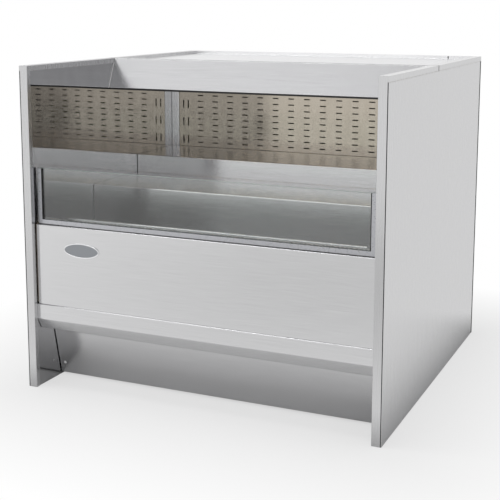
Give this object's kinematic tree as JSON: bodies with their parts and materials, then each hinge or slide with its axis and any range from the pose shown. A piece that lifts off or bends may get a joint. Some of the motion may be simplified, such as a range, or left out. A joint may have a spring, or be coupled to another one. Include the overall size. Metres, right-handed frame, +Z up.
{
  "type": "refrigerated display case",
  "caption": "Open refrigerated display case: mirror-lined steel end panels, stepped decks, low front glass and canopy over a machine base.",
  "frame": {"origin": "centre of the footprint at floor level", "axes": "+X to the case's left-to-right width as a shopper faces it, +Y to its rear, +Z up"},
  "size_m": [1, 0.98, 0.875],
  "materials": {
    "brushed_stainless": "number 4 brushed",
    "polished_stainless": "bright polished",
    "galvanised_steel": "galvanised",
    "insulation": "rigid foam",
    "black_plastic": "satin black",
    "black_rubber": "matt",
    "clear_glass": "clear",
    "aluminium_fins": "mill",
    "white_plastic": "satin white",
    "zinc_screws": "zinc plated",
    "black_enamel": "gloss black",
    "copper_pipe": "copper tube"
  },
  "bodies": {
    "case": {"left_outer_skin": "brushed_stainless", "left_inner_skin": "polished_stainless", "left_front_trim": "brushed_stainless", "left_rear_trim": "brushed_stainless", "right_outer_skin": "brushed_stainless", "right_inner_skin": "polished_stainless", "right_front_trim": "brushed_stainless", "right_rear_trim": "brushed_stainless", "end_panel_cores": "insulation", "trim_joint_strips": "black_plastic", "base_pan": "galvanised_steel", "frame_posts": "galvanised_steel", "kick_plate": "brushed_stainless", "panel_screws": "zinc_screws", "bumper_rail": "brushed_stainless", "front_panel": "brushed_stainless", "glass_channel": "brushed_stainless", "front_glass": "clear_glass", "glass_gaskets": "black_rubber", "tank_shell": "galvanised_steel", "tank_liner": "polished_stainless", "tank_insulation": "insulation", "deck_ledges": "brushed_stainless", "rear_baffle": "polished_stainless", "corner_posts": "brushed_stainless", "fan_plenum": "galvanised_steel", "evaporator_motors": "galvanised_steel", "evaporator_coil": "aluminium_fins", "canopy_fascia": "brushed_stainless", "fascia_lip": "black_plastic", "canopy_top": "brushed_stainless", "canopy_foam": "insulation", "canopy_duct": "galvanised_steel", "canopy_ceiling": "brushed_stainless", "air_honeycomb": "black_plastic", "lamp_channel": "aluminium_fins", "lamp_lens": "white_plastic", "rear_cover": "galvanised_steel", "compressor": "black_enamel", "condenser_coil": "aluminium_fins", "condenser_shroud": "galvanised_steel", "condensate_pan": "black_plastic", "drain_tube": "white_plastic", "refrigerant_lines": "copper_pipe", "control_box": "black_plastic"},
    "deck": {"deck_pan": "brushed_stainless", "product_stop": "brushed_stainless"},
    "tier_two": {"tier_two_shelf": "brushed_stainless"},
    "tier_three": {"tier_three_shelf": "brushed_stainless"},
    "grille": {"return_grille": "brushed_stainless"},
    "evaporator_fan_left": {"evaporator_fan_left": "black_plastic"},
    "evaporator_fan_right": {"evaporator_fan_right": "black_plastic"},
    "condenser_fan": {"condenser_fan": "black_plastic"},
    "foot_front_left": {"levelling_foot_1": "galvanised_steel"},
    "foot_front_right": {"levelling_foot_2": "galvanised_steel"},
    "foot_rear_left": {"levelling_foot_3": "galvanised_steel"},
    "foot_rear_right": {"levelling_foot_4": "galvanised_steel"},
    "light_switch": {"light_switch": "black_plastic"},
    "key_up": {"key_up": "white_plastic"},
    "key_down": {"key_down": "white_plastic"}
  },
  "joints": [
    {"name": "deck_lift", "type": "slide", "parent": "case", "child": "deck", "axis": [0, 0, 1], "range_m": [0, 0.15]},
    {"name": "tier_two_lift", "type": "slide", "parent": "case", "child": "tier_two", "axis": [0, 0, 1], "range_m": [0, 0.15]},
    {"name": "tier_three_lift", "type": "slide", "parent": "case", "child": "tier_three", "axis": [0, 0, 1], "range_m": [0, 0.15]},
    {"name": "grille_lift", "type": "slide", "parent": "case", "child": "grille", "axis": [0, 0, 1], "range_m": [0, 0.12]},
    {"name": "evaporator_fan_left_spin", "type": "hinge", "parent": "case", "child": "evaporator_fan_left", "pos_m": [-0.2, -0.161, 0.4294], "axis": [0, 1, 0], "continuous": true},
    {"name": "evaporator_fan_right_spin", "type": "hinge", "parent": "case", "child": "evaporator_fan_right", "pos_m": [0.2, -0.161, 0.4294], "axis": [0, 1, 0], "continuous": true},
    {"name": "condenser_fan_spin", "type": "hinge", "parent": "case", "child": "condenser_fan", "pos_m": [-0.275, -0.027, 0.141], "axis": [0, 1, 0], "continuous": true},
    {"name": "foot_front_left_turn", "type": "hinge", "parent": "case", "child": "foot_front_left", "pos_m": [-0.42, -0.32, 0.03], "axis": [0, 0, 1], "continuous": true},
    {"name": "foot_front_right_turn", "type": "hinge", "parent": "case", "child": "foot_front_right", "pos_m": [0.42, -0.32, 0.03], "axis": [0, 0, 1], "continuous": true},
    {"name": "foot_rear_left_turn", "type": "hinge", "parent": "case", "child": "foot_rear_left", "pos_m": [-0.42, 0.39, 0.03], "axis": [0, 0, 1], "continuous": true},
    {"name": "foot_rear_right_turn", "type": "hinge", "parent": "case", "child": "foot_rear_right", "pos_m": [0.42, 0.39, 0.03], "axis": [0, 0, 1], "continuous": true},
    {"name": "light_switch_rock", "type": "hinge", "parent": "case", "child": "light_switch", "pos_m": [0.252, 0.4758, 0.415], "axis": [1, 0, 0], "range_deg": [0, 14]},
    {"name": "key_up_press", "type": "slide", "parent": "case", "child": "key_up", "axis": [0, -1, 0], "range_m": [0, 0.0012], "stiffness_N_per_m": 400},
    {"name": "key_down_press", "type": "slide", "parent": "case", "child": "key_down", "axis": [0, -1, 0], "range_m": [0, 0.0012], "stiffness_N_per_m": 400}
  ]
}
